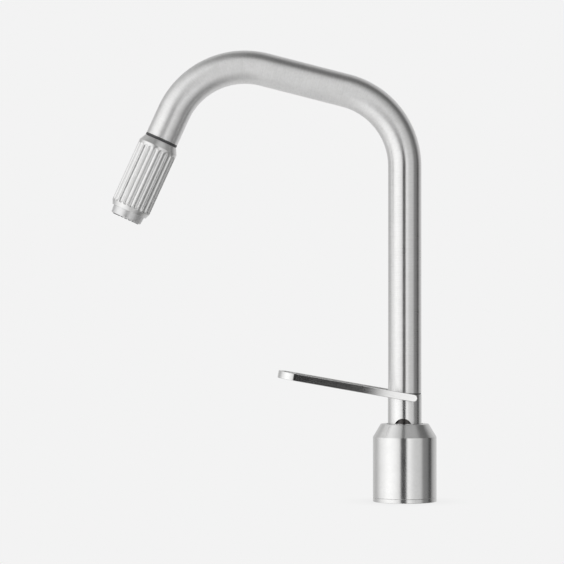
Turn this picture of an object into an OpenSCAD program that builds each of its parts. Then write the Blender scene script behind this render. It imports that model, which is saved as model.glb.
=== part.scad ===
// Pull down kitchen faucet: a column on a round deck base, an arched swivelling spout with a docked
// spray head on a hose, and a looped lever on a collar that turns around the column's foot.
// Millimetres. The origin is on the column's axis at the deck, +Z is up, and the spout points to -X.

/* [Base] */
// Diameter of the base and of its trim ring
base_d = 53.6; // [52:0.2:58]
// Height of the base up to its flat top
base_h = 65.5; // [62:0.5:70]
// Height of the sloped shoulder under the flat top
shoulder_h = 11; // [8:0.5:12]
// Diameter of the flat top
base_top_d = 40.4; // [39:0.2:44]
// Height of the trim ring that meets the deck
trim_ring_h = 3.5; // [3:0.1:5]

/* [Spout] */
// Outside diameter of the spout tube
tube_d = 28; // [28:0.1:28.4]
// Wall of the spout tube
tube_wall = 1.5; // [1.5:0.1:1.5]
// Height at which the column's bend starts
column_top_z = 282.5; // [240:0.5:340]
// Turn of the column's bend, in degrees
column_turn = 75.59; // [70:0.01:85]
// Straight length of the arm between the two bends
arm_straight = 71; // [40:1:140]
// Turn of the outlet's bend, in degrees
outlet_turn = 79.92; // [70:0.01:85]
// Straight length of the outlet, from its bend to the docking ring
outlet_straight = 24; // [24:1:40]
// Radius of both bends, on the tube's centre line
bend_r = 66; // [64:1:68]

/* [Spray head] */
// Largest diameter of the spray head
head_d = 33.8; // [33:0.2:35]
// Length of the spray head below the docking ring's middle
head_length = 72.5; // [71:0.5:78]
// Number of flutes around the spray head
flute_count = 22; // [18:1:24]
// Depth of one flute
flute_depth = 1.0; // [0.6:0.1:1.1]
// Outside diameter of the spray hose
hose_d = 11; // [10:0.5:11]

/* [Lever] */
// Length of the lever from its pivot to its tip
lever_length = 115; // [90:1:130]
// Thickness of the lever's band, across its slope
lever_thickness = 6.2; // [5:0.1:6.2]
// Half of the lever loop's outside width
lever_half_width = 18.6; // [18.6:0.1:20]
// Wall of the lever's band
lever_wall = 2.6; // [2:0.1:2.6]
// Slope of the closed lever, in degrees
lever_slope = 10; // [5:0.5:12]

/* [Hidden] */
$fn = 96;

eps = 0.01;          // overlap of a cutter past the face it cuts
gap = 0.3;           // clearance between pieces that move past each other
running = 0.05;      // radial clearance of a running fit

// Base
base_r = base_d / 2;
base_top_r = base_top_d / 2;
shell_wall = 2.6;
shell_bore_r = base_r - shell_wall;
ceiling_z = base_h - 3.1;
cone_inner_z = base_h - shoulder_h - 1.5;
cone_inner_r = base_top_r - 1.8;
edge = 0.4;          // small chamfer on turned edges
ring_bore_r = 20;

// Valve body and its ports
body_r = shell_bore_r - 0.2;
body_foot_r = ring_bore_r - 0.2;
body_foot_z = 0.5;
body_shelf_z = 8;
body_top_z = 35;
hose_passage_r = 7.5;
spigot_seat_z = 13;
port_r = 4.46;       // wall of an M10 x 1 thread
port_depths = [10, 10.6, 11.2];    // no two bores end at the same height
port_circle_r = 14.3;
port_angles = [90, 270, 45];       // hot, cold, mixed water out
waterway_r = 2.2;
waterway_circle_r = 17;
stud_r = 2.46;       // wall of an M6 thread
stud_circle_r = 15.5;
stud_depths = [8.4, 9.2];
stop_screw_z = 24;
stop_screw_angle = 135;
swivel_half_range = 75;

// Cartridge
fixed_disc_h = 4;
moving_disc_z = body_top_z + fixed_disc_h + 0.1;
moving_disc_h = 4;
flow_shift = 1.75;   // the moving disc rests this far towards the spout
moving_inner_r = 14.1;
moving_outer_r = 19.9;
carriage_z = moving_disc_z + moving_disc_h;
carriage_h = 3.2;
rib_h = 2.4;
rib_y = 16.6;
rib_w = 2.6;
driver_z = carriage_z + carriage_h + gap;
driver_top_z = 52;
driver_r = 21;
cup_wall = 1.8;
nut_z = 50;
nut_h = 2.8;
nut_bore_r = 18.2;

// Collar at the column's foot
spigot_r = 12;
collar_r = 14.2;
collar_bore_r = spigot_r + gap;
collar_top_z = 90.4;
flange_r = 17.6;
flange_z = 57;
flange_h = 3;
bush_r = collar_r + running;
bush_outer_r = 15.4;
relief_r = 7.4;      // arched relief at the collar's foot
relief_x = -2;
relief_z = 63;

// Lever
pivot_x = 6.5;
pivot_z = 87.7;
pin_r = 1.2;
pin_end_y = 16.4;    // the pins stop short of the lever's outer faces
pin_length = 5;
ear_r = 2.6;
ear_y = 13.6;
tip_corner_r = 15.3; // the tip is flat between its two round corners
waist_start = -45;   // the loop narrows from here to the pivot
waist_r = 700;

// Spout
tube_r = tube_d / 2;
tube_bore_r = tube_r - tube_wall;
tube_foot_z = 91.4;

// Docking ring and dock, in the outlet's own frame: +Z runs up into the spout
ring_h = 2;
ring_r = 14.1;
dock_bore_r = 11.9;
dock_length = 23;
dock_shoulder = 14.2;
magnet_h = 2;

// Spray head, in the outlet's own frame
head_r = head_d / 2;
head_top = -ring_h / 2 - gap;
head_taper_z = -6.5;
sleeve_end_z = -head_length + 6.5;
sleeve_taper_z = sleeve_end_z + 4;
sleeve_end_r = head_r - 1.7;
sleeve_bore_r = 14.3;
flute_top_z = -10.5;
flute_bottom_z = sleeve_taper_z + 1.5;
flute_r = 2.45;
neck_r = 11.6;
neck_top = 12;
nut_cavity_r = 8.3;
hose_r = hose_d / 2;
hose_bore_r = 3.6;
hose_end_turn = 28;  // the outlet bend's last degrees hold the straight hose end
stub_top = 53;
cone_r = 8;
cone_bottom = -9;
nozzle_r = 13.9;
nozzle_top_z = sleeve_end_z + 1.9;
nozzle_end_r = 13.3;
aerator_r = 10.9;
aerator_seat_z = nozzle_top_z + 0.7;
aerator_top_z = -47.2;
outlet_hole_r = 8.2;
nub_circle_r = 11;
nub_count = 20;

// --- Helpers ---

module ring(r_out, r_in, h, z = 0) {
    translate([0, 0, z])
        difference() {
            cylinder(r = r_out, h = h);
            translate([0, 0, -eps]) cylinder(r = r_in, h = h + 2 * eps);
        }
}

module turned(points) {
    rotate_extrude() polygon(points);
}

module wall_profile(r_out, r_in) {
    difference() {
        circle(r = r_out);
        circle(r = r_in);
    }
}

// The spout's path runs up the column and turns towards -X at each bend. Each length and bend starts
// at its own frame's origin and runs along its +Z.
module straight(length, r_out, r_in) {
    linear_extrude(length) wall_profile(r_out, r_in);
}

module bend(turn, r_out, r_in) {
    translate([-bend_r, 0, 0])
        rotate([90, 0, 0])
            rotate_extrude(angle = turn)
                translate([bend_r, 0])
                    wall_profile(r_out, r_in);
}

module past_bend(turn) {
    translate([-bend_r, 0, 0])
        rotate([0, -turn, 0])
            translate([bend_r, 0, 0])
                children();
}

module at_arm() {
    translate([0, 0, column_top_z])
        past_bend(column_turn)
            children();
}

module at_outlet_bend() {
    at_arm()
        translate([0, 0, arm_straight])
            children();
}

// The outlet's own frame: origin in the docking ring's middle, +Z runs up into the spout
module at_outlet() {
    at_outlet_bend()
        past_bend(outlet_turn)
            translate([0, 0, outlet_straight + ring_h / 2])
                rotate([0, 180, 0])
                    children();
}

// The lever's own frame: origin on the pivot, -X runs along the closed lever
module at_lever() {
    translate([pivot_x, 0, pivot_z])
        rotate([0, lever_slope, 0])
            children();
}

module both_sides() {
    children();
    mirror([0, 1, 0]) children();
}

// --- Base ---

module base_shell() {
    color("silver")
    difference() {
        turned([
            [shell_bore_r, trim_ring_h],
            [base_r - edge, trim_ring_h],
            [base_r, trim_ring_h + edge],
            [base_r, base_h - shoulder_h],
            [base_top_r, base_h - edge],
            [base_top_r - edge, base_h],
            [bush_outer_r, base_h],
            [bush_outer_r, ceiling_z],
            [cone_inner_r, ceiling_z],
            [shell_bore_r, cone_inner_z]
        ]);
        translate([shell_bore_r - 1, 0, 14])
            rotate([0, 90, 0])
                cylinder(r = 1.6, h = shell_wall + 2, $fn = 48);
    }
}

module base_ring() {
    color("silver")
    turned([
        [ring_bore_r, 0],
        [21.2, 0],
        [21.2, 1.4],
        [24.6, 1.4],
        [24.6, 0],
        [base_r - edge, 0],
        [base_r, edge],
        [base_r, trim_ring_h - edge],
        [base_r - edge, trim_ring_h],
        [body_r, trim_ring_h],
        [body_r, body_shelf_z - 0.2],
        [ring_bore_r, body_shelf_z - 0.2]
    ]);
}

module deck_gasket() {
    color("black")
    ring(24.5, 21.3, 1.3);
}

module valve_body() {
    color("goldenrod")
    difference() {
        union() {
            translate([0, 0, body_foot_z])
                cylinder(r = body_foot_r, h = body_shelf_z - body_foot_z);
            translate([0, 0, body_shelf_z])
                cylinder(r = body_r, h = body_top_z - body_shelf_z);
        }
        translate([0, 0, -eps]) cylinder(r = hose_passage_r, h = body_top_z);
        translate([0, 0, spigot_seat_z])
            cylinder(r = spigot_r + running, h = body_top_z);
        for (i = [0:2]) {
            rotate([0, 0, port_angles[i]]) {
                translate([port_circle_r, 0, body_foot_z - eps])
                    cylinder(r = port_r, h = port_depths[i] + eps);
                translate([waterway_circle_r, 0, body_foot_z + port_depths[i] - 1])
                    cylinder(r = waterway_r, h = body_top_z, $fn = 48);
                translate([waterway_circle_r, 0, body_top_z - 1.6])
                    cylinder(r = 4.2, h = 2, $fn = 48);
            }
        }
        for (i = [0:1]) {
            rotate([0, 0, i * 180])
                translate([stud_circle_r, 0, body_foot_z - eps])
                    cylinder(r = stud_r, h = stud_depths[i] + eps, $fn = 48);
        }
        rotate([0, 0, stop_screw_angle])
            translate([0, 0, stop_screw_z])
                rotate([0, 90, 0])
                    cylinder(r = 2, h = body_r + 1, $fn = 48);
        translate([body_r - 3, 0, 14])
            rotate([0, 90, 0])
                cylinder(r = 1.6, h = 4, $fn = 48);
    }
}

module port_seals() {
    color("dimgray")
    for (a = port_angles) {
        rotate([0, 0, a])
            translate([waterway_circle_r, 0, 0])
                ring(4.1, 2.4, 1.5, body_top_z - 1.55);
    }
}

module fixed_disc() {
    color("white")
    difference() {
        ring(21.8, 12.6, fixed_disc_h, body_top_z);
        for (a = port_angles) {
            rotate([0, 0, a])
                translate([waterway_circle_r, 0, body_top_z - 1])
                    cylinder(r = waterway_r, h = fixed_disc_h + 2, $fn = 48);
        }
    }
}

module cartridge_cup() {
    color("gainsboro")
    ring(body_r, body_r - cup_wall, nut_z - body_top_z, body_top_z);
}

module cartridge_nut() {
    color("goldenrod")
    difference() {
        ring(body_r, nut_bore_r, nut_h, nut_z);
        for (i = [0:5]) {
            rotate([0, 0, i * 60])
                translate([body_r - 1.4, -1.5, nut_z + 1.2])
                    cube([3, 3, nut_h]);
        }
    }
}

module collar_bush() {
    color("dimgray")
    ring(bush_outer_r, bush_r, base_h - ceiling_z, ceiling_z);
}

module thrust_washer() {
    color("white")
    ring(flange_r, bush_outer_r - 0.6, ceiling_z - flange_z - flange_h - gap,
        flange_z + flange_h + gap);
}

module swivel_stop_screw() {
    color("dimgray")
    rotate([0, 0, stop_screw_angle])
        translate([0, 0, stop_screw_z])
            rotate([0, 90, 0]) {
                difference() {
                    translate([0, 0, 12.8]) cylinder(r = 1.98, h = 8, $fn = 48);
                    translate([0, 0, 18.8]) cylinder(r = 1.1, h = 3, $fn = 6);
                }
                translate([0, 0, 11]) cylinder(r = 1.4, h = 2, $fn = 48);
            }
}

module shell_grub_screw() {
    color("dimgray")
    translate([body_r - 2.8, 0, 14])
        rotate([0, 90, 0])
            difference() {
                cylinder(r = 1.56, h = 5, $fn = 48);
                translate([0, 0, 3]) cylinder(r = 0.85, h = 3, $fn = 6);
            }
}

// --- Collar and cartridge carriage ---

module lever_collar() {
    color("silver")
    difference() {
        union() {
            turned([
                [0, driver_top_z],
                [collar_r, driver_top_z],
                [collar_r, flange_z],
                [flange_r, flange_z],
                [flange_r, flange_z + flange_h],
                [collar_r, flange_z + flange_h],
                [collar_r, collar_top_z - edge],
                [collar_r - edge, collar_top_z],
                [0, collar_top_z]
            ]);
            both_sides()
                translate([pivot_x, ear_y, pivot_z])
                    rotate([90, 0, 0])
                        cylinder(r = ear_r, h = 3.2, $fn = 64);
        }
        translate([0, 0, driver_top_z - eps])
            cylinder(r = collar_bore_r, h = collar_top_z - driver_top_z + 2 * eps);
        both_sides()
            translate([pivot_x, ear_y + 1, pivot_z])
                rotate([90, 0, 0])
                    cylinder(r = pin_r + running, h = ear_y + 1 - 11.2, $fn = 64);
        both_sides()
            intersection() {
                translate([relief_x, -collar_bore_r / 2, relief_z])
                    rotate([90, 0, 0])
                        cylinder(r = relief_r, h = collar_r);
                translate([-collar_r, -2 * collar_r, base_h + 0.4])
                    cube([2 * collar_r, 2 * collar_r, relief_r]);
            }
    }
}

module disc_driver() {
    color("white")
    difference() {
        turned([
            [collar_bore_r + 0.2, driver_z],
            [driver_r, driver_z],
            [driver_r, nut_z - 0.4],
            [nut_bore_r - 0.4, nut_z - 0.4],
            [nut_bore_r - 0.4, driver_top_z],
            [collar_bore_r + 0.2, driver_top_z]
        ]);
        both_sides()
            translate([-driver_r - 1, rib_y - rib_w / 2 - gap, driver_z - 1])
                cube([2 * driver_r + 2, rib_w + 2 * gap, rib_h + 1]);
    }
}

module moving_disc() {
    color("white")
    translate([-flow_shift, 0, 0])
        ring(moving_outer_r, moving_inner_r, moving_disc_h, moving_disc_z);
}

module disc_carriage() {
    color("lightgray")
    translate([-flow_shift, 0, 0]) {
        ring(moving_outer_r, moving_inner_r, carriage_h, carriage_z);
        both_sides()
            intersection() {
                translate([-6, rib_y - rib_w / 2, carriage_z + 1])
                    cube([12, rib_w, carriage_h - 1 + rib_h - 0.4]);
                cylinder(r = moving_outer_r, h = 100);
            }
    }
}

// --- Lever ---

// Plan of the loop: a rounded tip, two straight sides and a gentle waist towards the pivot
module loop_plan(half_w, waist) {
    tip_x = -lever_length + tip_corner_r;
    corner_y = lever_half_width - tip_corner_r;
    corner = half_w - corner_y;
    translate([tip_x, corner_y]) circle(r = corner, $fn = 128);
    translate([tip_x, -corner_y]) circle(r = corner, $fn = 128);
    translate([tip_x - corner, -corner_y]) square([corner, 2 * corner_y]);
    translate([tip_x, -half_w]) square([waist_start - tip_x, 2 * half_w]);
    intersection() {
        translate([waist_start, half_w - waist]) circle(r = waist, $fn = 720);
        translate([waist_start, waist - half_w]) circle(r = waist, $fn = 720);
        translate([waist_start - eps, -half_w]) square([80, 2 * half_w]);
    }
}

module lever_loop() {
    color("silver")
    at_lever()
        difference() {
            intersection() {
                translate([0, 0, -lever_thickness / 2])
                    linear_extrude(lever_thickness)
                        difference() {
                            loop_plan(lever_half_width, waist_r);
                            loop_plan(lever_half_width - lever_wall, waist_r - lever_wall);
                        }
                rotate([90, 0, 0])
                    translate([0, 0, -lever_half_width - 1])
                        linear_extrude(2 * lever_half_width + 2) {
                            circle(r = lever_thickness / 2);
                            translate([-lever_length - 1, -lever_thickness / 2])
                                square([lever_length + 1, lever_thickness]);
                        }
            }
            rotate([90, 0, 0])
                translate([0, 0, -pin_end_y - 0.05])
                    cylinder(r = pin_r + 0.01, h = 2 * pin_end_y + 0.1, $fn = 64);
        }
}

module pivot_pins() {
    color("silver")
    both_sides()
        translate([pivot_x, pin_end_y, pivot_z])
            rotate([90, 0, 0])
                cylinder(r = pin_r, h = pin_length, $fn = 64);
}

// --- Spout ---

module spout_tube() {
    color("silver")
    union() {
        translate([0, 0, tube_foot_z])
            straight(column_top_z - tube_foot_z, tube_r, tube_bore_r);
        translate([0, 0, column_top_z]) bend(column_turn, tube_r, tube_bore_r);
        at_arm() straight(arm_straight, tube_r, tube_bore_r);
        at_outlet_bend() bend(outlet_turn, tube_r, tube_bore_r);
        at_outlet_bend()
            past_bend(outlet_turn)
                straight(outlet_straight, tube_r, tube_bore_r);
    }
}

module spout_spigot() {
    color("goldenrod")
    difference() {
        union() {
            translate([0, 0, spigot_seat_z + gap])
                cylinder(r = spigot_r, h = tube_foot_z - spigot_seat_z);
            translate([0, 0, tube_foot_z])
                cylinder(r = tube_bore_r - 0.01, h = 18);
        }
        translate([0, 0, -1]) cylinder(r = 9.5, h = 200);
        for (z = [17, 29.6]) {
            ring(spigot_r + 1, 10.9, 1.8, z);
        }
        rotate([0, 0, stop_screw_angle - swivel_half_range - 9])
            rotate_extrude(angle = 2 * swivel_half_range + 18)
                translate([10.6, stop_screw_z - 1.8])
                    square([3, 3.6]);
    }
}

module spigot_seals() {
    color("black")
    for (z = [17, 29.6]) {
        ring(spigot_r, 10.95, 1.6, z + 0.1);
    }
}

module glide_ring() {
    color("dimgray")
    ring(tube_r - 0.2, spigot_r + 0.02, tube_foot_z - collar_top_z - gap, collar_top_z + gap);
}

module docking_ring() {
    color("dimgray")
    at_outlet()
        ring(ring_r, dock_bore_r + 0.1, ring_h, -ring_h / 2);
}

module dock_insert() {
    color("white")
    at_outlet()
        difference() {
            translate([0, 0, ring_h / 2])
                cylinder(r = tube_bore_r - 0.02, h = dock_length);
            translate([0, 0, -eps]) cylinder(r = dock_bore_r, h = dock_shoulder + magnet_h);
            cylinder(r = 8.6, h = 60);
        }
}

module dock_magnet() {
    color("dimgray")
    at_outlet()
        ring(dock_bore_r - 0.02, 8.8, magnet_h - 0.05, dock_shoulder);
}

// The hose inside the spout. It stops where the straight hose end takes over.
module spray_hose() {
    color("silver")
    union() {
        translate([0, 0, body_foot_z])
            straight(column_top_z - body_foot_z, hose_r, hose_bore_r);
        translate([0, 0, column_top_z]) bend(column_turn, hose_r, hose_bore_r);
        at_arm() straight(arm_straight, hose_r, hose_bore_r);
        at_outlet_bend() bend(outlet_turn - hose_end_turn, hose_r, hose_bore_r);
    }
}

// --- Hose end ---

module hose_stub() {
    color("silver")
    at_outlet()
        ring(hose_r, hose_bore_r, stub_top - 4, 4);
}

module hose_ferrule() {
    color("silver")
    at_outlet()
        ring(6.9, hose_r + 0.01, 12, 4.02);
}

module hose_cone() {
    color("goldenrod")
    at_outlet()
        turned([
            [hose_bore_r, cone_bottom],
            [cone_r - 1, cone_bottom],
            [cone_r, cone_bottom + 1],
            [cone_r, 0],
            [cone_r - 1, 4],
            [hose_bore_r, 4]
        ]);
}

// --- Spray head ---

module head_sleeve() {
    color("silver")
    at_outlet()
        difference() {
            turned([
                [12.8, head_top],
                [ring_r + 0.1, head_top],
                [head_r, head_taper_z],
                [head_r, sleeve_taper_z],
                [sleeve_end_r, sleeve_end_z],
                [sleeve_bore_r, sleeve_end_z],
                [sleeve_bore_r, -8],
                [12.8, -4.5]
            ]);
            for (i = [0:flute_count - 1]) {
                rotate([0, 0, (i + 0.5) * 360 / flute_count])
                    translate([head_r + flute_r - flute_depth, 0, 0]) {
                        translate([0, 0, flute_bottom_z])
                            cylinder(r = flute_r, h = flute_top_z - flute_bottom_z, $fn = 48);
                        translate([0, 0, flute_top_z]) sphere(r = flute_r, $fn = 48);
                        translate([0, 0, flute_bottom_z]) sphere(r = flute_r, $fn = 48);
                    }
            }
        }
}

module head_core() {
    core_r = sleeve_bore_r - 0.1;
    color("whitesmoke")
    at_outlet()
        turned([
            [nut_cavity_r, neck_top],
            [neck_r, neck_top],
            [neck_r, head_top - 0.2],
            [12.7, head_top - 0.2],
            [12.7, -4.7],
            [core_r, -8.2],
            [core_r, sleeve_end_z + 2],
            [aerator_r + 0.1, sleeve_end_z + 2],
            [aerator_r + 0.1, -47],
            [5, -47],
            [5, -11.2],
            [nut_cavity_r, -11.2]
        ]);
}

module head_keeper_ring() {
    color("dimgray")
    at_outlet()
        ring(neck_r - 0.1, nut_cavity_r + 0.1, 1.6, neck_top);
}

module head_seal() {
    color("black")
    at_outlet()
        ring(nut_cavity_r - 0.1, hose_bore_r, 1.85, -11.2);
}

module check_valve() {
    color("gainsboro")
    at_outlet()
        turned([
            [1.5, -14],
            [4.95, -14],
            [4.95, -26],
            [3.2, -28],
            [1.5, -28]
        ]);
}

module aerator() {
    color("gainsboro")
    at_outlet()
        difference() {
            union() {
                translate([0, 0, aerator_seat_z])
                    cylinder(r = aerator_r, h = aerator_top_z - aerator_seat_z);
                translate([0, 0, -head_length + 1.6])
                    cylinder(r = outlet_hole_r - 0.1, h = aerator_seat_z + head_length - 1);
            }
            for (x = [-3:3]) {
                for (y = [-3:3]) {
                    if (norm([x, y]) < 3.2)
                        translate([2.2 * x - 0.8, 2.2 * y - 0.8, -head_length])
                            cube([1.6, 1.6, 4]);
                }
            }
        }
}

module nozzle_face() {
    color("dimgray")
    at_outlet()
        turned([
            [outlet_hole_r, nozzle_top_z],
            [nozzle_r, nozzle_top_z],
            [nozzle_r, sleeve_end_z],
            [nozzle_end_r, -head_length + 0.8],
            [nozzle_end_r - 0.8, -head_length],
            [nub_circle_r + 1.2, -head_length],
            [nub_circle_r + 1.2, -head_length + 1.2],
            [nub_circle_r - 1.2, -head_length + 1.2],
            [nub_circle_r - 1.2, -head_length],
            [outlet_hole_r + 0.6, -head_length],
            [outlet_hole_r, -head_length + 0.6]
        ]);
}

module spray_nubs() {
    color("black")
    at_outlet() {
        ring(nub_circle_r + 1.15, nub_circle_r - 1.15, 0.9, -head_length + 0.25);
        for (i = [0:nub_count - 1]) {
            rotate([0, 0, i * 360 / nub_count])
                translate([nub_circle_r, 0, -head_length - 0.6])
                    cylinder(r1 = 0.55, r2 = 0.85, h = 1, $fn = 24);
        }
    }
}

base_shell();
base_ring();
deck_gasket();
valve_body();
port_seals();
fixed_disc();
cartridge_cup();
cartridge_nut();
collar_bush();
thrust_washer();
swivel_stop_screw();
shell_grub_screw();
lever_collar();
disc_driver();
moving_disc();
disc_carriage();
lever_loop();
pivot_pins();
spout_tube();
spout_spigot();
spigot_seals();
glide_ring();
docking_ring();
dock_insert();
dock_magnet();
spray_hose();
hose_stub();
hose_ferrule();
hose_cone();
head_sleeve();
head_core();
head_keeper_ring();
head_seal();
check_valve();
aerator();
nozzle_face();
spray_nubs();
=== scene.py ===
"""Pull down kitchen faucet in brushed steel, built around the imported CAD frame.

Metres, +Z up, the spout points to -X, and the camera looks along +Y.
"""
import math

import bpy
from mathutils import Matrix, Vector


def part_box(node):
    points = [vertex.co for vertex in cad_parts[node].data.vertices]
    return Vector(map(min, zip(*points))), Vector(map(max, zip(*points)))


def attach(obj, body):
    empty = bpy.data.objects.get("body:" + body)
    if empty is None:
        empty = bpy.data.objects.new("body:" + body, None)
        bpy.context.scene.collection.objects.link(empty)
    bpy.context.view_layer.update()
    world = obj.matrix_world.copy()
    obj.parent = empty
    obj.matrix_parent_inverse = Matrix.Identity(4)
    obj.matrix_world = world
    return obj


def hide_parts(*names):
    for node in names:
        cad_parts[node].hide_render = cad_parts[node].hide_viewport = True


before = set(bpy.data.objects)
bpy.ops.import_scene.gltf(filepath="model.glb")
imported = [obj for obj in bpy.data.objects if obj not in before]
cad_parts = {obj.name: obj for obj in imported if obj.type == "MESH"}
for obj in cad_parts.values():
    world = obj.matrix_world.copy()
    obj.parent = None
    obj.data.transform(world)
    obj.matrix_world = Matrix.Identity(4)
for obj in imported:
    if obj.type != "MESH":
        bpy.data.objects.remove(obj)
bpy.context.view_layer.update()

MM = 0.001
X_AXIS = Vector((1, 0, 0))
Y_AXIS = Vector((0, 1, 0))
Z_AXIS = Vector((0, 0, 1))

# --- Camera ---
CAMERA_PLACE = Vector((-0.1035, -2.361, 0.185))
CAMERA_LENS = 178.7
SENSOR_WIDTH = 36

# --- The spout's path: column, bend, arm, bend, outlet ---
COLUMN_TOP = 0.2825
BEND_R = 0.066
ARM_LENGTH = 0.071
OUTLET_LENGTH = 0.024
RUNS = ((math.radians(75.59), ARM_LENGTH), (math.radians(79.92), OUTLET_LENGTH))
PATH_END = COLUMN_TOP + sum(BEND_R * turn + straight for turn, straight in RUNS)
RING_HALF = 1 * MM

# --- Sizes that the CAD boxes give ---
base_low, base_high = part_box("base_shell")
tube_low, tube_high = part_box("spout_tube")
BASE_R = base_high.x
BASE_TOP = base_high.z
TRIM_TOP = base_low.z
TUBE_R = tube_high.y
TUBE_FOOT = tube_low.z
COLLAR_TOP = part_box("lever_collar")[1].z
LEVER_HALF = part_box("lever_loop")[1].y

# --- Sizes inside those boxes: base ---
SHOULDER = 11 * MM
SHOULDER_WALL = 1.5 * MM
BASE_TOP_R = 20.2 * MM
BASE_BORE = 24.2 * MM
MOUTH_R = 15.4 * MM
MOUTH_DEPTH = 3.1 * MM
POCKET_R = 18.4 * MM
TRIM_BORE = 20 * MM
TRIM_SPIGOT_R = 24 * MM
TRIM_SPIGOT_TOP = 7.8 * MM
GROOVE_INNER_R = 21.2 * MM
GROOVE_OUTER_R = 24.6 * MM
GROOVE_DEPTH = 1.4 * MM
SCREW_HOLE_Z = 14 * MM
SCREW_HOLE_R = 1.6 * MM

# --- Collar and lever ---
COLLAR_R = 14.2 * MM
COLLAR_BORE = 12.3 * MM
COLLAR_FOOT = 52 * MM
FLANGE_LOW = 57 * MM
FLANGE_HIGH = 60 * MM
FLANGE_R = 17.6 * MM
RELIEF_R = 7.4 * MM
RELIEF_X = -2 * MM
RELIEF_Z = 63 * MM
RELIEF_FLOOR = BASE_TOP + 0.4 * MM
PIN_BOSS_R = 2.6 * MM
PIN_BOSS_SPAN = (11.6 * MM, 13.6 * MM)
PIN_HOLE_R = 1.25 * MM
PIN_HOLE_SPAN = (10.9 * MM, 14.6 * MM)
PIVOT = Vector((6.5 * MM, 0, 87.7 * MM))
LEVER_SLOPE = math.radians(10)
LEVER_REACH = 115 * MM
LEVER_THICK = 6.2 * MM
LEVER_WALL = 2.6 * MM
TIP_CORNER = 15.3 * MM
WAIST_START = -45 * MM
WAIST_R = 700 * MM

# --- Tube, docking ring and spray head, measured from the docking ring's middle ---
TUBE_WALL = 1.5 * MM
DOCK_R = 14.1 * MM
DOCK_BORE = 12 * MM
HEAD_R = 16.9 * MM
HEAD_LENGTH = 72.5 * MM
SLEEVE_TOP = -1.3 * MM
SLEEVE_TOP_R = 14.2 * MM
SLEEVE_CONE_END = -6.5 * MM
SLEEVE_MOUTH = 12.8 * MM
SLEEVE_MOUTH_END = -4.5 * MM
SLEEVE_BORE = 14.3 * MM
SLEEVE_BORE_TOP = -8 * MM
SLEEVE_END = 6.5 * MM - HEAD_LENGTH
SLEEVE_TAPER = SLEEVE_END + 4 * MM
SLEEVE_END_R = HEAD_R - 1.7 * MM
FLUTES = 22
FLUTE_R = 2.45 * MM
FLUTE_DEPTH = 1 * MM
FLUTE_TOP = -10.5 * MM
FLUTE_END = SLEEVE_TAPER + 1.5 * MM
FLUTE_CREASE = 0.4 * MM
NOZZLE_TOP = SLEEVE_END + 1.9 * MM
NOZZLE_R = 13.9 * MM
NOZZLE_FACE_R = 13.3 * MM
NOZZLE_BORE = 8.2 * MM
NUB_CIRCLE = 11 * MM
NUB_GROOVE = 1.2 * MM       # the groove's depth, and its reach to each side of the nub circle
HOSE_R = 5.5 * MM
HOSE_BORE = 3.6 * MM
HOSE_LOW = 4 * MM
HOSE_HIGH = 53 * MM
STRANDS = 16
BRAID_PITCH = 16 * MM
BRAID_DEPTH = 0.35 * MM
BRAID_SINK = 0.05 * MM

# --- How finely round shapes are cut up ---
BASE_SEGMENTS = 160
COLLAR_SEGMENTS = 144
TUBE_SEGMENTS = 112
SMALL_SEGMENTS = 128
FILLET_STEPS = 4
PLUG_SEGMENTS = 48
ARCH_STEPS = 32
LEVER_END_STEPS = 8
TIP_STEPS = 24
CORNER_STEPS = 4
FLUTE_SEGMENTS = 20         # round one flute


# --- Paths: each gives the centre, the direction of travel and the outward side at a distance ---

def upright(s):
    return Vector((0, 0, s)), Z_AXIS, X_AXIS


def along_spout(s):
    """The spout's centre line, measured from the deck."""
    heading = 0.0
    left = s - COLUMN_TOP
    centre = Vector((0, 0, min(s, COLUMN_TOP)))
    for turn, straight in RUNS:
        arc = min(max(left / BEND_R, 0), turn)
        hub = centre - BEND_R * Vector((math.cos(heading), 0, math.sin(heading)))
        heading += arc
        centre = hub + BEND_R * Vector((math.cos(heading), 0, math.sin(heading)))
        left -= BEND_R * arc
        run = min(max(left, 0), straight) if arc == turn else 0
        centre += run * Vector((-math.sin(heading), 0, math.cos(heading)))
        left -= run
    along = Vector((-math.sin(heading), 0, math.cos(heading)))
    return centre, along, Vector((math.cos(heading), 0, math.sin(heading)))


path_end, outlet_down, outlet_side = along_spout(PATH_END)
RING_MIDDLE = path_end + RING_HALF * outlet_down


def in_outlet(s):
    """The outlet's own frame: s runs up into the spout from the docking ring's middle."""
    return RING_MIDDLE - s * outlet_down, -outlet_down, outlet_side


def stops(first, last, step):
    """Evenly spaced distances between two others, for the rings of a bend or a flute."""
    count = max(1, round((last - first) / step))
    return [first + (last - first) * i / count for i in range(count + 1)]


# --- Profiles: closed outlines of (distance, radius), with rounded corners ---

def rounded(corners):
    """Turns (s, r, fillet) corners into (s, r, normal s, normal r) points."""
    flat = [Vector((s, r)) for s, r, _ in corners]
    count = len(flat)
    area = sum(flat[i].x * flat[(i + 1) % count].y - flat[(i + 1) % count].x * flat[i].y
               for i in range(count))
    side = 1 if area > 0 else -1
    points = []
    for i, (_, _, fillet) in enumerate(corners):
        here = flat[i]
        before = (here - flat[i - 1]).normalized()
        after = (flat[(i + 1) % count] - here).normalized()
        n_before = Vector((before.y, -before.x)) * side
        bend = math.atan2(before.x * after.y - before.y * after.x, before.dot(after))
        start = here - before * fillet * math.tan(abs(bend) / 2)
        hollow = -1 if bend * side < 0 else 1
        hub = start - hollow * fillet * n_before
        for k in range(FILLET_STEPS + 1):
            turn = bend * k / FILLET_STEPS
            n = Vector((n_before.x * math.cos(turn) - n_before.y * math.sin(turn),
                        n_before.x * math.sin(turn) + n_before.y * math.cos(turn)))
            p = hub + hollow * fillet * n
            points.append((p.x, p.y, n.x, n.y))
    return points


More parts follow.
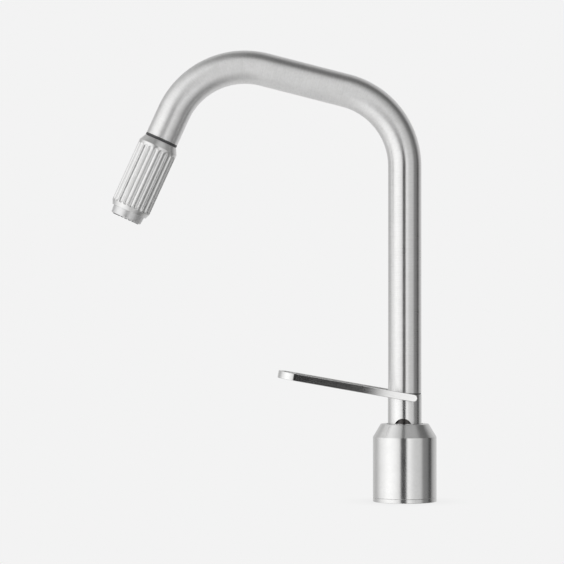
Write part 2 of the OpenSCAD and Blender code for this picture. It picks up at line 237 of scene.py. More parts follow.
def with_stops(points, marks):
    """Adds rings at the marked distances to the stretches that run past them."""
    out = []
    for i, here in enumerate(points):
        after = points[(i + 1) % len(points)]
        out.append(here)
        span = after[0] - here[0]
        if abs(span) <= 1 * MM:
            continue
        inside = [m for m in marks if 0.02 < (m - here[0]) / span < 0.98]
        for mark in sorted(inside, reverse=span < 0):
            share = (mark - here[0]) / span
            out.append((mark, here[1] + share * (after[1] - here[1]), here[2], here[3]))
    return out


# --- Meshes ---

GRAIN_FINE = 3600       # streaks per metre across the brushing
GRAIN_AROUND = 110      # streaks per metre along the brushing


def new_object(name, verts, faces, material, normals=None):
    mesh = bpy.data.meshes.new(name)
    mesh.from_pydata(verts, [], faces)
    mesh.materials.append(material)
    mesh.polygons.foreach_set("use_smooth", [True] * len(mesh.polygons))
    if normals:
        mesh.normals_split_custom_set_from_vertices(normals)
    obj = bpy.data.objects.new(name, mesh)
    bpy.context.scene.collection.objects.link(obj)
    return obj


def add_grain(obj, grain, corner_uv):
    """Stores where each point lies across and along the brushing, and the tangent's UV map."""
    mesh = obj.data
    attribute = mesh.attributes.new("grain", "FLOAT_VECTOR", "POINT")
    attribute.data.foreach_set("vector", [c for g in grain for c in g])
    layer = mesh.uv_layers.new(name="brush")
    layer.data.foreach_set("uv", [c for uv in corner_uv for c in uv])
    return obj


def turned(name, profile, path, material, segments, shape=None):
    """Sweeps a closed profile round a path. shape(s, angle, r) may change the radius."""
    verts, normals, grain = [], [], []
    lengths = [0.0]
    for i in range(1, len(profile)):
        step = math.hypot(profile[i][0] - profile[i - 1][0], profile[i][1] - profile[i - 1][1])
        lengths.append(lengths[-1] + step)
    loop = lengths[-1] + math.hypot(profile[0][0] - profile[-1][0], profile[0][1] - profile[-1][1])
    widest = max(p[1] for p in profile)
    around = widest * GRAIN_AROUND
    angles = [2 * math.pi * i / segments for i in range(segments)]
    for (s, r, ns, nr), length in zip(profile, lengths):
        centre, along, outward = path(s)
        for a in angles:
            radial = outward * math.cos(a) + Y_AXIS * math.sin(a)
            verts.append(centre + radial * (shape(s, a, r) if shape else r))
            normals.append(along * ns + radial * nr)
            grain.append((around * math.cos(a), around * math.sin(a), length * GRAIN_FINE))
    faces, uv = [], []
    rings = len(profile)
    for j in range(rings):
        after = (j + 1) % rings
        u0, u1 = lengths[j], lengths[after] if after else loop
        for i in range(segments):
            right = (i + 1) % segments
            faces.append((j * segments + i, j * segments + right,
                          after * segments + right, after * segments + i))
            v0, v1 = widest * angles[i], widest * 2 * math.pi * (i + 1) / segments
            uv.append([(u0, v0), (u0, v1), (u1, v1), (u1, v0)])
    first = faces[0]
    across = (verts[first[1]] - verts[first[0]]).cross(verts[first[3]] - verts[first[0]])
    if across.dot(normals[first[0]]) < 0:
        faces = [f[::-1] for f in faces]
        uv = [q[::-1] for q in uv]
    obj = new_object(name, verts, faces, material, None if shape else normals)
    return add_grain(obj, grain, [c for q in uv for c in q])


def place(obj, body, slot, *nodes):
    """The piece rides on its body and stands for its CAD nodes."""
    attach(obj, body)
    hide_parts(*nodes)
    return obj


def apply_modifiers(obj):
    bpy.context.view_layer.update()
    shaped = obj.evaluated_get(bpy.context.evaluated_depsgraph_get())
    mesh = bpy.data.meshes.new_from_object(shaped)
    obj.modifiers.clear()
    obj.data = mesh


def carve(obj, cutter, operation="DIFFERENCE"):
    """Cuts one closed mesh from another, or joins it on, and removes the cutter."""
    boolean = obj.modifiers.new("carve", "BOOLEAN")
    boolean.operation = operation
    boolean.solver = "EXACT"
    boolean.object = cutter
    apply_modifiers(obj)
    bpy.data.objects.remove(cutter)


def soften(obj, sharp_degrees=40):
    """Shades a mesh smooth, but keeps edges above the angle sharp and broad faces flat."""
    mesh = obj.data
    mesh.polygons.foreach_set("use_smooth", [True] * len(mesh.polygons))
    mesh.set_sharp_from_angle(angle=math.radians(sharp_degrees))
    weighted = obj.modifiers.new("weighted", "WEIGHTED_NORMAL")
    weighted.keep_sharp = True
    apply_modifiers(obj)


# --- Materials ---

STEEL_TINT = (1.0, 0.998, 0.992)
STREAK_WIDENING = (0.6, 0.6, 0.22)      # makes broad streaks out of the fine ones' coordinates
BLOTCH_SCALE = 70.0
SPECK_SCALE = 420.0
EDGE_POINTINESS = (0.52, 0.62)
EDGE_WEAR = 0.06                        # how much brighter a worn edge is
SATIN_ROUGHNESS = 0.13
PAINTED_ARM_LIGHT = 0.15       # painted light on the bends and arm, fitted: without it the arm comes out darker than in the photo


def graph(name):
    material = bpy.data.materials.new(name)
    material.use_nodes = True
    tree = material.node_tree
    return material, tree, tree.nodes["Principled BSDF"]


def node(tree, kind, **settings):
    made = tree.nodes.new("ShaderNode" + kind)
    for key, value in settings.items():
        if key in made.inputs:
            made.inputs[key].default_value = value
        else:
            setattr(made, key, value)
    return made


def noise(tree, vector, scale, detail=3.0, roughness=0.55):
    made = node(tree, "TexNoise", Scale=scale, Detail=detail, Roughness=roughness)
    tree.links.new(vector, made.inputs["Vector"])
    return made.outputs["Fac"]


def remap(tree, value, low, high, from_low=0.3, from_high=0.7):
    made = node(tree, "MapRange")
    made.inputs["From Min"].default_value = from_low
    made.inputs["From Max"].default_value = from_high
    made.inputs["To Min"].default_value = low
    made.inputs["To Max"].default_value = high
    tree.links.new(value, made.inputs["Value"])
    return made.outputs["Result"]


def combine(tree, operation, a, b):
    made = node(tree, "Math", operation=operation)
    for socket, value in zip(made.inputs, (a, b)):
        if isinstance(value, (int, float)):
            socket.default_value = value
        else:
            tree.links.new(value, socket)
    return made.outputs["Value"]


def stretched(tree, vector, factors):
    made = node(tree, "VectorMath", operation="MULTIPLY")
    tree.links.new(vector, made.inputs[0])
    made.inputs[1].default_value = factors
    return made.outputs["Vector"]


def grey(tree, value, tint=(1, 1, 1)):
    """A value as a colour: the tint, made brighter or darker by the value."""
    made = node(tree, "CombineColor")
    for socket, share in zip(made.inputs, tint):
        tree.links.new(combine(tree, "MULTIPLY", value, share), socket)
    return made.outputs["Color"]


def averaged(tree, a, b, share):
    """Mixes two values: a share of the first and the rest of the second."""
    return combine(tree, "ADD", combine(tree, "MULTIPLY", a, share),
                   combine(tree, "MULTIPLY", b, 1 - share))


def dented(tree, shader, height, strength, distance):
    """Gives a shader's normal fine bumps from a height value."""
    bump = node(tree, "Bump", Strength=strength, Distance=distance)
    tree.links.new(height, bump.inputs["Height"])
    tree.links.new(bump.outputs["Normal"], shader.inputs["Normal"])


def brushed_steel(name, tone, roughness, anisotropic, streak=0.05, bump=0.05, mottle=0.03):
    """Steel brushed around its length: fine streaks, soft blotches and worn edges.

    Where the bends' and arm's mask attribute is 1 the steel is rougher and more mottled, a guess at
    how they are finished, and its colour is lighter: painted light, fitted to the photo's
    brightness.
    """
    material, tree, shader = graph(name)
    grain = node(tree, "Attribute", attribute_name="grain").outputs["Vector"]
    fine = noise(tree, grain, 1.0, 2.0)
    broad = noise(tree, stretched(tree, grain, STREAK_WIDENING), 1.0, 4.0, 0.7)
    place_in = node(tree, "TexCoord").outputs["Object"]
    blotch = noise(tree, place_in, BLOTCH_SCALE, 5.0, 0.6)
    speck = noise(tree, place_in, SPECK_SCALE, 3.0, 0.6)
    pointiness = node(tree, "NewGeometry").outputs["Pointiness"]
    wear = remap(tree, pointiness, 0.0, EDGE_WEAR, *EDGE_POINTINESS)
    lines = remap(tree, averaged(tree, fine, broad, 0.5), -streak, streak, 0.35, 0.65)
    patches = remap(tree, averaged(tree, blotch, speck, 0.6), -mottle, mottle, 0.35, 0.65)
    satin = node(tree, "Attribute", attribute_name="satin").outputs["Fac"]
    patches = combine(tree, "MULTIPLY", patches, combine(tree, "ADD", satin, 1.0))
    value = combine(tree, "ADD", combine(tree, "ADD", lines, patches), tone)
    # painted light: raises the colour of the bends and arm so they look lighter
    value = combine(tree, "ADD", value, combine(tree, "MULTIPLY", satin, PAINTED_ARM_LIGHT))
    value = combine(tree, "ADD", value, wear)
    tree.links.new(grey(tree, value, STEEL_TINT), shader.inputs["Base Color"])
    drift = combine(tree, "ADD", remap(tree, broad, 0.86, 1.14), remap(tree, blotch, -0.06, 0.06))
    rough = combine(tree, "MULTIPLY", drift, roughness)
    rough = combine(tree, "ADD", rough, combine(tree, "MULTIPLY", satin, SATIN_ROUGHNESS))
    tree.links.new(rough, shader.inputs["Roughness"])
    shader.inputs["Metallic"].default_value = 1.0
    shader.inputs["Anisotropic"].default_value = anisotropic
    tangent = node(tree, "Tangent", direction_type="UV_MAP", uv_map="brush")
    tree.links.new(tangent.outputs["Tangent"], shader.inputs["Tangent"])
    dented(tree, shader, fine, bump, 0.02 * MM)
    return material


def plain_metal(name, colour, roughness, spread=0.08):
    """Cast, turned or plated metal with uneven polish."""
    material, tree, shader = graph(name)
    place_in = node(tree, "TexCoord").outputs["Object"]
    cloud = noise(tree, place_in, 160.0, 4.0)
    grit = noise(tree, place_in, 1800.0, 2.0)
    value = combine(tree, "ADD", remap(tree, cloud, -spread, spread), 1.0)
    tree.links.new(grey(tree, value, colour), shader.inputs["Base Color"])
    tree.links.new(combine(tree, "ADD", remap(tree, cloud, -0.06, 0.06), roughness),
                   shader.inputs["Roughness"])
    shader.inputs["Metallic"].default_value = 1.0
    dented(tree, shader, grit, 0.05, 0.03 * MM)
    return material


def moulded(name, colour, roughness, pebble=900.0, depth=0.04, spread=0.05, coat=0.0):
    """Moulded plastic, rubber or ceramic: fine pebble grain and slight colour drift."""
    material, tree, shader = graph(name)
    place_in = node(tree, "TexCoord").outputs["Object"]
    drift = noise(tree, place_in, 90.0, 3.0)
    grit = noise(tree, place_in, pebble, 3.0, 0.6)
    value = combine(tree, "ADD", remap(tree, drift, -spread, spread), 1.0)
    tree.links.new(grey(tree, value, colour), shader.inputs["Base Color"])
    tree.links.new(combine(tree, "ADD", remap(tree, grit, -0.08, 0.08), roughness),
                   shader.inputs["Roughness"])
    shader.inputs["Coat Weight"].default_value = coat
    dented(tree, shader, grit, 0.3, depth * MM)
    return material


# Brushed steel: tone, roughness, anisotropy. The others: colour, roughness.
MATERIALS = {
    "steel_base": brushed_steel("steel_base", 0.80, 0.26, 0.8),
    "steel_trim": brushed_steel("steel_trim", 0.78, 0.26, 0.8),
    "steel_collar": brushed_steel("steel_collar", 0.80, 0.27, 0.8),
    "steel_tube": brushed_steel("steel_tube", 0.80, 0.315, 0.93,
                                streak=0.045, bump=0.015, mottle=0.035),
    "steel_lever": brushed_steel("steel_lever", 0.80, 0.135, 0.88,
                                 streak=0.03, bump=0.01, mottle=0.02),
    "steel_head": brushed_steel("steel_head", 0.80, 0.33, 0.5,
                                streak=0.04, bump=0.02, mottle=0.03),
    "steel_screw": plain_metal("steel_screw", (0.62, 0.62, 0.61), 0.34),
    "brass_body": plain_metal("brass_body", (0.78, 0.60, 0.30), 0.36),
    # near-black colour: painted shade for the spigot inside the collar, seen through its arches
    "brass_dark": plain_metal("brass_dark", (0.085, 0.08, 0.078), 0.3),
    "brass_plated": plain_metal("brass_plated", (0.74, 0.73, 0.70), 0.24),
    "magnet_grey": plain_metal("magnet_grey", (0.42, 0.42, 0.43), 0.42),
    "dock_dark": moulded("dock_dark", (0.055, 0.055, 0.057), 0.42),
    "plastic_dark": moulded("plastic_dark", (0.045, 0.045, 0.047), 0.5),
    "plastic_grey": moulded("plastic_grey", (0.34, 0.34, 0.35), 0.45),
    "plastic_white": moulded("plastic_white", (0.74, 0.74, 0.72), 0.42),
    "ceramic_white": moulded("ceramic_white", (0.82, 0.81, 0.78), 0.2,
                             pebble=1500.0, depth=0.01, spread=0.02, coat=0.3),
    "rubber_black": moulded("rubber_black", (0.022, 0.022, 0.023), 0.72),
    "rubber_grey": moulded("rubber_grey", (0.19, 0.19, 0.20), 0.62),
    "nozzle_plated": plain_metal("nozzle_plated", (0.76, 0.76, 0.76), 0.40, spread=0.03),
    "hose_braid": plain_metal("hose_braid", (0.66, 0.66, 0.66), 0.32),
}


def closed_plug(name, radius, near, far, line, slot):
    """A solid round bar along a line, for carving or joining."""
    verts = []
    for s in (near, far):
        centre, along, outward = line(s)
        sideways = along.cross(outward)
        for i in range(PLUG_SEGMENTS):
            a = 2 * math.pi * i / PLUG_SEGMENTS
            verts.append(centre + radius * (outward * math.cos(a) + sideways * math.sin(a)))
    faces = [tuple(range(PLUG_SEGMENTS - 1, -1, -1)),
             tuple(range(PLUG_SEGMENTS, 2 * PLUG_SEGMENTS))]
    for i in range(PLUG_SEGMENTS):
        after = (i + 1) % PLUG_SEGMENTS
        faces.append((i, after, after + PLUG_SEGMENTS, i + PLUG_SEGMENTS))
    return new_object(name, verts, faces, MATERIALS[slot])


# --- Base ---

def build_base():
    shell = turned("base_shell_skin", rounded([
        (TRIM_TOP, BASE_BORE, 0.1 * MM),
        (TRIM_TOP, BASE_R, 0.35 * MM),
        (BASE_TOP - SHOULDER, BASE_R, 0.5 * MM),
        (BASE_TOP, BASE_TOP_R, 0.5 * MM),
        (BASE_TOP, MOUTH_R, 0.2 * MM),
        (BASE_TOP - MOUTH_DEPTH, MOUTH_R, 0.2 * MM),
        (BASE_TOP - MOUTH_DEPTH, POCKET_R, 0.2 * MM),
        (BASE_TOP - SHOULDER - SHOULDER_WALL, BASE_BORE, 0.5 * MM),
    ]), upright, MATERIALS["steel_base"], BASE_SEGMENTS)

    def screw_line(s):
        return Vector((s, 0, SCREW_HOLE_Z)), X_AXIS, Z_AXIS

    carve(shell, closed_plug("screw_hole", SCREW_HOLE_R, BASE_BORE - 1 * MM, BASE_R + 1 * MM,
                             screw_line, "steel_base"))
    soften(shell)
    place(shell, "base", "steel_base", "base_shell")

    trim = turned("base_trim_ring", rounded([
        (TRIM_SPIGOT_TOP, TRIM_BORE, 0.2 * MM),
        (0, TRIM_BORE, 0.2 * MM),
        (0, GROOVE_INNER_R, 0.1 * MM),
        (GROOVE_DEPTH, GROOVE_INNER_R, 0.1 * MM),
        (GROOVE_DEPTH, GROOVE_OUTER_R, 0.1 * MM),
        (0, GROOVE_OUTER_R, 0.1 * MM),
        (0, BASE_R, 0.45 * MM),
        (TRIM_TOP, BASE_R, 0.35 * MM),
        (TRIM_TOP, TRIM_SPIGOT_R, 0.1 * MM),
        (TRIM_SPIGOT_TOP, TRIM_SPIGOT_R, 0.2 * MM),
    ]), upright, MATERIALS["steel_trim"], BASE_SEGMENTS)
    place(trim, "base", "steel_trim", "base_ring")


# --- Collar ---

def arch_cutter(side):
    """A prism under an arch, from inside the bore to past the collar's face."""
    half = math.acos((RELIEF_FLOOR - RELIEF_Z) / RELIEF_R)
    outline = [(RELIEF_X + RELIEF_R * math.sin(a), RELIEF_Z + RELIEF_R * math.cos(a))
               for a in (half * (2 * i / ARCH_STEPS - 1) for i in range(ARCH_STEPS + 1))]
    near, far = COLLAR_BORE / 2 * side, COLLAR_R * 1.5 * side
    verts = [Vector((x, y, z)) for y in (near, far) for x, z in outline]
    count = len(outline)
    faces = [tuple(range(count)), tuple(range(2 * count - 1, count - 1, -1))]
    for i in range(count):
        after = (i + 1) % count
        faces.append((i, i + count, after + count, after))
    if side > 0:
        faces = [f[::-1] for f in faces]
    return new_object("arch_cutter", verts, faces, MATERIALS["steel_collar"])


def pivot_disc(side, radius, span):
    """A round plug on the lever's pivot line, between two distances from the middle."""

    def pivot_line(s):
        return Vector((PIVOT.x, s * side, PIVOT.z)), Y_AXIS * side, X_AXIS

    return closed_plug("pivot_plug", radius, *span, pivot_line, "steel_collar")


def build_collar():
    collar = turned("lever_collar_skin", rounded([
        (COLLAR_FOOT, COLLAR_BORE, 0.2 * MM),
        (COLLAR_FOOT, COLLAR_R, 0.3 * MM),
        (FLANGE_LOW, COLLAR_R, 0.3 * MM),
        (FLANGE_LOW, FLANGE_R, 0.3 * MM),
        (FLANGE_HIGH, FLANGE_R, 0.3 * MM),
        (FLANGE_HIGH, COLLAR_R, 0.3 * MM),
        (COLLAR_TOP, COLLAR_R, 0.35 * MM),
        (COLLAR_TOP, COLLAR_BORE, 0.2 * MM),
    ]), upright, MATERIALS["steel_collar"], COLLAR_SEGMENTS)
    for side in (-1, 1):
        carve(collar, arch_cutter(side))
        carve(collar, pivot_disc(side, PIN_BOSS_R, PIN_BOSS_SPAN), "UNION")
        carve(collar, pivot_disc(side, PIN_HOLE_R, PIN_HOLE_SPAN))
    soften(collar)
    place(collar, "collar", "steel_collar", "lever_collar")


# --- Lever ---

TILT = Matrix.Translation(PIVOT) @ Matrix.Rotation(LEVER_SLOPE, 4, "Y")
ROOT_TURN = 89.5        # degrees of the round end, just short of its very edge
LEAST_SHARE = 0.012     # of the band's thickness, at that edge
BAND_CORNER = 0.45 * MM
WAIST_STEP = 3 * MM
SIDE_STEP = 6 * MM


def lever_path():
    """Middle line of the loop's band in the lever's plan: (point, direction, end rounding)."""
    mid_half = LEVER_HALF - LEVER_WALL / 2
    mid_waist = WAIST_R - LEVER_WALL / 2
    mid_corner = TIP_CORNER - LEVER_WALL / 2
    corner_y = LEVER_HALF - TIP_CORNER
    tip_x = -LEVER_REACH + TIP_CORNER
    end_r = LEVER_THICK / 2
    rooted = math.radians(ROOT_TURN)
    root = [(end_r * math.sin(a), a)
            for a in (rooted * (1 - i / LEVER_END_STEPS) for i in range(LEVER_END_STEPS + 1))]
    xs = root + [(x, 0.0) for x in stops(-WAIST_STEP, WAIST_START, -WAIST_STEP)]
    side = []
    for x, rounding in xs:
        y = mid_half - mid_waist + math.sqrt(mid_waist ** 2 - (x - WAIST_START) ** 2)
        slope = (x - WAIST_START) / mid_waist
        side.append((Vector((x, y, 0)), Vector((-math.cos(slope), math.sin(slope), 0)), rounding))
    side += [(Vector((x, mid_half, 0)), -X_AXIS, 0.0)
             for x in stops(WAIST_START - 4 * MM, tip_x + 1 * MM, -SIDE_STEP)]
    for i in range(TIP_STEPS + 1):
        a = math.pi / 2 * i / TIP_STEPS
        x, y = tip_x - mid_corner * math.sin(a), corner_y + mid_corner * math.cos(a)
        side.append((Vector((x, y, 0)), Vector((-math.cos(a), -math.sin(a), 0)), 0.0))
    back = [(Vector((p.x, -p.y, 0)), Vector((-d.x, d.y, 0)), -r) for p, d, r in reversed(side)]
    return side + back


def band_section(half_height):
    """Outline of the band: (across, up, normal across, normal up) with rounded corners."""
    half_wall = LEVER_WALL / 2
    corner = min(BAND_CORNER, half_height * 0.8)
    points = []
    for i in range(4):
        for k in range(CORNER_STEPS + 1):
            a = math.pi / 2 * (i + k / CORNER_STEPS)
            sign_x = 1 if i in (0, 3) else -1
            sign_z = 1 if i in (0, 1) else -1
            points.append((sign_x * (half_wall - corner) + corner * math.cos(a),
                           sign_z * (half_height - corner) + corner * math.sin(a),
                           math.cos(a), math.sin(a)))
    return points


def build_lever():
    verts, normals, grain, rings, lengths = [], [], [], [], []
    travelled, last = 0.0, None
    turn = TILT.to_3x3()
    for point, direction, rounding in lever_path():
        travelled += (point - last).length if last else 0.0
        last = point
        half_height = LEVER_THICK / 2 * max(math.cos(rounding), LEAST_SHARE)
        across = direction.cross(Z_AXIS)
        lengths.append(travelled)
        ring = []
        for x, z, nx, nz in band_section(half_height):
            ring.append(len(verts))
            verts.append(TILT @ (point + across * x + Z_AXIS * z))
            lift = Z_AXIS * math.cos(rounding) - direction * math.sin(rounding)
            normals.append(turn @ (across * nx + lift * nz).normalized())
            grain.append((x * GRAIN_FINE, travelled * GRAIN_AROUND, z * GRAIN_FINE))
        rings.append(ring)
    section = band_section(LEVER_THICK / 2)
    round_length = [0.0]
    for i in range(1, len(section) + 1):
        a, b = section[i - 1], section[i % len(section)]
        round_length.append(round_length[-1] + math.hypot(b[0] - a[0], b[1] - a[1]))
    faces, uv = [], []
    count = len(section)
    for j in range(len(rings) - 1):
        for i in range(count):
            right = (i + 1) % count
            faces.append((rings[j][i], rings[j][right], rings[j + 1][right], rings[j + 1][i]))
            u0, u1 = round_length[i], round_length[i + 1]
            v0, v1 = lengths[j], lengths[j + 1]
            uv.append([(u0, v0), (u1, v0), (u1, v1), (u0, v1)])
    for cap in (rings[0][::-1], rings[-1]):
        faces.append(tuple(cap))
        uv.append([(z, x) for x, z, _, _ in section])
    first = faces[4]
    outward = (verts[first[1]] - verts[first[0]]).cross(verts[first[3]] - verts[first[0]])
    if outward.dot(normals[first[0]]) < 0:
        faces = [f[::-1] for f in faces]
        uv = [q[::-1] for q in uv]
    lever = new_object("lever_loop_band", verts, faces, MATERIALS["steel_lever"], normals)
    add_grain(lever, grain, [c for q in uv for c in q])
    place(lever, "lever", "steel_lever", "lever_loop")


# --- Spout ---

STRAIGHT_STEP = 12 * MM
BEND_STEP = 2.4 * MM
ROUGH_AND_LIGHT_FADE = 20 * MM        # height over which the bends' rougher steel and painted light set in


def build_spout():
    marks = stops(TUBE_FOOT, COLUMN_TOP, STRAIGHT_STEP)
    along = COLUMN_TOP
    for turn, straight in RUNS:
        marks += stops(along, along + BEND_R * turn, BEND_STEP)
        along += BEND_R * turn
        marks += stops(along, along + straight, STRAIGHT_STEP)
        along += straight
    inner = TUBE_R - TUBE_WALL
    tube = turned("spout_tube_skin", with_stops(rounded([
        (TUBE_FOOT, inner, 0.15 * MM),
        (TUBE_FOOT, TUBE_R, 0.3 * MM),
        (PATH_END, TUBE_R, 0.2 * MM),
        (PATH_END, inner, 0.15 * MM),
    ]), sorted(set(round(m, 6) for m in marks))),
        along_spout, MATERIALS["steel_tube"], TUBE_SEGMENTS)
    # The bends and arm get rougher steel and painted light, fading in above the column
    rougher_and_light_layer = tube.data.attributes.new("satin", "FLOAT", "POINT")
    rise = [min(max((v.co.z - COLUMN_TOP) / ROUGH_AND_LIGHT_FADE, 0), 1) for v in tube.data.vertices]
    rougher_and_light_layer.data.foreach_set("value", rise)
    place(tube, "spout", "steel_tube", "spout_tube")

    dock = turned("docking_ring_band", rounded([
        (-RING_HALF, DOCK_BORE, 0.15 * MM),
        (-RING_HALF, DOCK_R, 0.25 * MM),
        (RING_HALF, DOCK_R, 0.25 * MM),
        (RING_HALF, DOCK_BORE, 0.15 * MM),
    ]), in_outlet, MATERIALS["dock_dark"], SMALL_SEGMENTS)
    place(dock, "spout", "dock_dark", "docking_ring")


# --- Spray head ---

def soft_min(a, b, width):
    """The smaller of two lengths, with the crease between them rounded."""
    share = min(max(0.5 + 0.5 * (b - a) / width, 0.0), 1.0)
    return b + (a - b) * share - width * share * (1 - share)


def fluted(s, angle, r):
    """Radius of the sleeve's outside, hollowed by round flutes with ball-shaped run-outs."""
    if r < SLEEVE_BORE + 0.5 * MM:
        return r
    past = max(s - FLUTE_TOP, FLUTE_END - s, 0.0)
    reach = FLUTE_R ** 2 - past ** 2
    pitch = 2 * math.pi / FLUTES
    off = angle % pitch - pitch / 2
    distance = HEAD_R + FLUTE_R - FLUTE_DEPTH
    chord = reach - (distance * math.sin(off)) ** 2
    if chord <= 0:
        return r
    return soft_min(r, distance * math.cos(off) - math.sqrt(chord), FLUTE_CREASE)


RUNOUT_STEP = 0.3 * MM
FLUTE_STEP = 3 * MM


def build_head():
    marks = stops(FLUTE_TOP - FLUTE_CREASE, FLUTE_TOP + FLUTE_R, RUNOUT_STEP)
    marks += stops(FLUTE_END - FLUTE_R, FLUTE_END + FLUTE_CREASE, RUNOUT_STEP)
    marks += stops(FLUTE_END + FLUTE_STEP, FLUTE_TOP - FLUTE_STEP, FLUTE_STEP)
    sleeve = turned("spray_head_sleeve", with_stops(rounded([
        (SLEEVE_BORE_TOP, SLEEVE_BORE, 0.2 * MM),
        (SLEEVE_MOUTH_END, SLEEVE_MOUTH, 0.2 * MM),
        (SLEEVE_TOP, SLEEVE_MOUTH, 0.2 * MM),
        (SLEEVE_TOP, SLEEVE_TOP_R, 0.35 * MM),
        (SLEEVE_CONE_END, HEAD_R, 0.8 * MM),
        (SLEEVE_TAPER, HEAD_R, 1.2 * MM),
        (SLEEVE_END, SLEEVE_END_R, 0.3 * MM),
        (SLEEVE_END, SLEEVE_BORE, 0.15 * MM),
    ]), sorted(marks)), in_outlet, MATERIALS["steel_head"], FLUTES * FLUTE_SEGMENTS, fluted)
    soften(sleeve, sharp_degrees=50)
    place(sleeve, "head", "steel_head", "head_sleeve")

    nozzle = turned("spray_nozzle_face", rounded([
        (NOZZLE_TOP, NOZZLE_BORE, 0.2 * MM),
        (NOZZLE_TOP, NOZZLE_R, 0.2 * MM),
        (SLEEVE_END, NOZZLE_R, 0.3 * MM),
        (-HEAD_LENGTH, NOZZLE_FACE_R, 0.9 * MM),
        (-HEAD_LENGTH, NUB_CIRCLE + NUB_GROOVE, 0.15 * MM),
        (-HEAD_LENGTH + NUB_GROOVE, NUB_CIRCLE + NUB_GROOVE, 0.15 * MM),
        (-HEAD_LENGTH + NUB_GROOVE, NUB_CIRCLE - NUB_GROOVE, 0.15 * MM),
        (-HEAD_LENGTH, NUB_CIRCLE - NUB_GROOVE, 0.15 * MM),
        (-HEAD_LENGTH, NOZZLE_BORE, 0.5 * MM),
    ]), in_outlet, MATERIALS["nozzle_plated"], SMALL_SEGMENTS)
    place(nozzle, "head", "nozzle_plated", "nozzle_face")


# --- Spray hose end, seen when the head is pulled down ---

def braided(s, angle, r):
    """Over-and-under strands of a woven steel sleeve."""
    if r < HOSE_R - 1 * MM:
        return r
    climb = 2 * math.pi * s / BRAID_PITCH
    left = math.cos(STRANDS / 2 * (angle + climb))
    right = math.cos(STRANDS / 2 * (angle - climb))
    weave = math.copysign(1, math.sin(STRANDS / 2 * angle) * math.sin(STRANDS / 2 * climb))
    over = left if weave > 0 else right
    return r - BRAID_DEPTH * (1 - abs(over)) ** 2 - BRAID_SINK


def build_hose_end():
    hose = turned("hose_end_braid", with_stops(rounded([
        (HOSE_LOW, HOSE_BORE, 0.1 * MM),
        (HOSE_LOW, HOSE_R, 0.15 * MM),
        (HOSE_HIGH, HOSE_R, 0.15 * MM),
        (HOSE_HIGH, HOSE_BORE, 0.1 * MM),
    ]), stops(HOSE_LOW + 0.5 * MM, HOSE_HIGH - 0.5 * MM, 0.4 * MM)),
        in_outlet, MATERIALS["hose_braid"], SMALL_SEGMENTS, braided)
    soften(hose, sharp_degrees=80)
    place(hose, "hose_end", "hose_braid", "hose_stub")


# --- Stage, light and camera ---

PAPER = 0.8963      # the backdrop's even pale grey, linear

# Brightness round the studio as (degrees from the camera, positive to its right, and value):
# at the camera's level, overhead, and below; each fades into the next between two heights.
# These values, CEILING and the heights were fitted to the brightness of the photo's bands.
LEVEL = (
    (-180, 0.66), (-157, 0.62), (-143, 0.56), (-133, 0.52), (-124, 0.56), (-112, 0.74),
    (-100, 0.94), (-80, 1.12), (-66, 1.26), (-50, 1.22), (-36, 1.10), (-26, 0.94), (-18.5, 0.80),
    (-16.0, 0.03), (3.3, 0.03), (5.2, 1.05), (13, 1.12), (24, 0.88), (36, 0.74), (55, 0.68),
    (60, 0.62), (68, 0.27), (90, 0.21), (97, 0.07), (107, 0.06), (114, 0.34), (130, 0.54),
    (150, 0.66), (180, 0.66),
)
ABOVE = (
    (-180, 0.50), (-135, 0.50), (-118, 0.60), (-100, 0.84), (-74, 1.08), (-50, 1.06), (-30, 0.98),
    (-19, 0.86), (-15, 0.16), (-4, 0.16), (0, 0.68), (20, 0.62), (45, 0.54), (62, 0.42),
    (75, 0.15), (105, 0.10), (118, 0.35), (140, 0.50), (180, 0.50),
)
BELOW = (
    (-180, 0.62), (-125, 0.64), (-70, 0.84), (-25, 0.82), (-5, 0.62), (15, 0.50), (35, 0.32),
    (50, 0.22), (100, 0.18), (118, 0.40), (135, 0.55), (180, 0.62),
)
CEILING = 0.15
ABOVE_FADE = (12, 52)
CEILING_FADE = (48, 70)
BELOW_FADE = (-18, -50)
SOFTBOXES = (
    ("softbox_left", Vector((-1.6, -1.4, 1.3)), 1.4),
    ("softbox_right", Vector((1.5, -1.5, 1.1)), 1.1),
)
SOFTBOX_WATTS = 7.0
SOFTBOX_AIM = Vector((-0.1, 0, 0.15))
FLOOR_HALF = 6.0
CONTACT_REACH = 0.035
CONTACT_SHADE = 0.86


def ring_of_light(tree, turn, table):
    """Looks a table of brightness up by bearing."""
    ramp = node(tree, "ValToRGB")
    elements = ramp.color_ramp.elements
    for i, (degrees, value) in enumerate(table):
        at = (degrees + 180) / 360
        element = elements[i] if i < 2 else elements.new(at)
        element.position = at
        element.color = (value, value, value, 1)
    tree.links.new(turn, ramp.inputs["Fac"])
    return ramp.outputs["Color"]


def faded(tree, colour, onto, rise, heights):
    """Fades one colour into another between two heights, in degrees."""
    first, last = heights
    share = node(tree, "MapRange", interpolation_type="SMOOTHSTEP")
    share.inputs["From Min"].default_value = math.radians(first)
    share.inputs["From Max"].default_value = math.radians(last)
    tree.links.new(rise, share.inputs["Value"])
    blend = node(tree, "Mix", data_type="RGBA")
    tree.links.new(share.outputs["Result"], blend.inputs["Factor"])
    tree.links.new(colour, blend.inputs["A"])
    if isinstance(onto, float):
        blend.inputs["B"].default_value = (onto, onto, onto, 1)
    else:
        tree.links.new(onto, blend.inputs["B"])
    return blend.outputs["Result"]


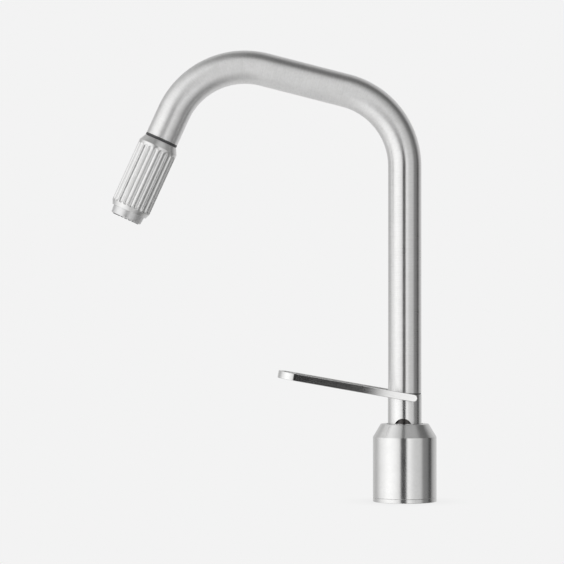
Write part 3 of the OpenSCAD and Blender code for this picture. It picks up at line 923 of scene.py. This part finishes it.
def build_studio_light():
    """A tent of soft light: bright walls, a dark slot in front and a dark flag on the right."""
    world = bpy.data.worlds.new("studio")
    bpy.context.scene.world = world
    world.use_nodes = True
    tree = world.node_tree
    tree.nodes.clear()
    way = node(tree, "TexCoord").outputs["Generated"]
    split = node(tree, "SeparateXYZ")
    tree.links.new(way, split.inputs["Vector"])
    forward = combine(tree, "MULTIPLY", split.outputs["Y"], -1.0)
    bearing = combine(tree, "ARCTAN2", split.outputs["X"], forward)
    turn = remap(tree, bearing, 0.0, 1.0, -math.pi, math.pi)
    rise = combine(tree, "ARCSINE", split.outputs["Z"], 0.0)
    walls = ring_of_light(tree, turn, LEVEL)
    walls = faded(tree, walls, ring_of_light(tree, turn, ABOVE), rise, ABOVE_FADE)
    walls = faded(tree, walls, CEILING, rise, CEILING_FADE)
    walls = faded(tree, walls, ring_of_light(tree, turn, BELOW), rise, BELOW_FADE)
    tent = node(tree, "Background")
    tree.links.new(walls, tent.inputs["Color"])
    paper = node(tree, "Background", Color=(PAPER, PAPER, PAPER, 1))
    seen = node(tree, "LightPath").outputs["Is Camera Ray"]
    pick = node(tree, "MixShader")
    tree.links.new(seen, pick.inputs[0])
    tree.links.new(tent.outputs[0], pick.inputs[1])
    tree.links.new(paper.outputs[0], pick.inputs[2])
    output = node(tree, "OutputWorld")
    tree.links.new(pick.outputs[0], output.inputs["Surface"])
    for name, spot, size in SOFTBOXES:
        lamp = bpy.data.lights.new(name, "AREA")
        lamp.shape = "DISK"
        lamp.size = size
        lamp.energy = SOFTBOX_WATTS
        box = bpy.data.objects.new(name, lamp)
        box.location = spot
        box.rotation_mode = "QUATERNION"
        box.rotation_quaternion = (SOFTBOX_AIM - spot).to_track_quat("-Z", "Y")
        box.visible_glossy = False
        box.visible_camera = False
        bpy.context.scene.collection.objects.link(box)


def build_floor():
    """A pale sheet under the base that fades into the backdrop, with a faint contact shade."""
    corners = [(x * FLOOR_HALF, y * FLOOR_HALF, 0) for x, y in ((-1, -1), (1, -1), (1, 1), (-1, 1))]
    material = bpy.data.materials.new("floor_paper")
    sheet = new_object("floor_sheet", corners, [(0, 1, 2, 3)], material)
    material.use_nodes = True
    tree = material.node_tree
    tree.nodes.clear()
    shade = node(tree, "AmbientOcclusion", Distance=CONTACT_REACH)
    value = remap(tree, shade.outputs["AO"], PAPER * CONTACT_SHADE, PAPER, 0.0, 1.0)
    glow = node(tree, "Emission")
    tree.links.new(grey(tree, value), glow.inputs["Color"])
    output = node(tree, "OutputMaterial")
    tree.links.new(glow.outputs[0], output.inputs["Surface"])
    sheet.visible_glossy = False
    sheet.visible_diffuse = False
    sheet.visible_shadow = False


def build_camera():
    data = bpy.data.cameras.new("camera")
    data.lens = CAMERA_LENS
    data.sensor_width = SENSOR_WIDTH
    camera = bpy.data.objects.new("camera", data)
    camera.location = CAMERA_PLACE
    camera.rotation_euler = (math.radians(90), 0, 0)
    bpy.context.scene.collection.objects.link(camera)
    bpy.context.scene.camera = camera
    bpy.context.scene.view_settings.view_transform = "Standard"


build_camera()
build_studio_light()
build_floor()
build_base()
build_collar()
build_lever()
build_spout()
build_head()
build_hose_end()
# The CAD nodes that show as they are take the materials named like their slots
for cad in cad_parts.values():
    for slot in cad.material_slots:
        slot.material = MATERIALS[slot.material.name.split(".")[0]]
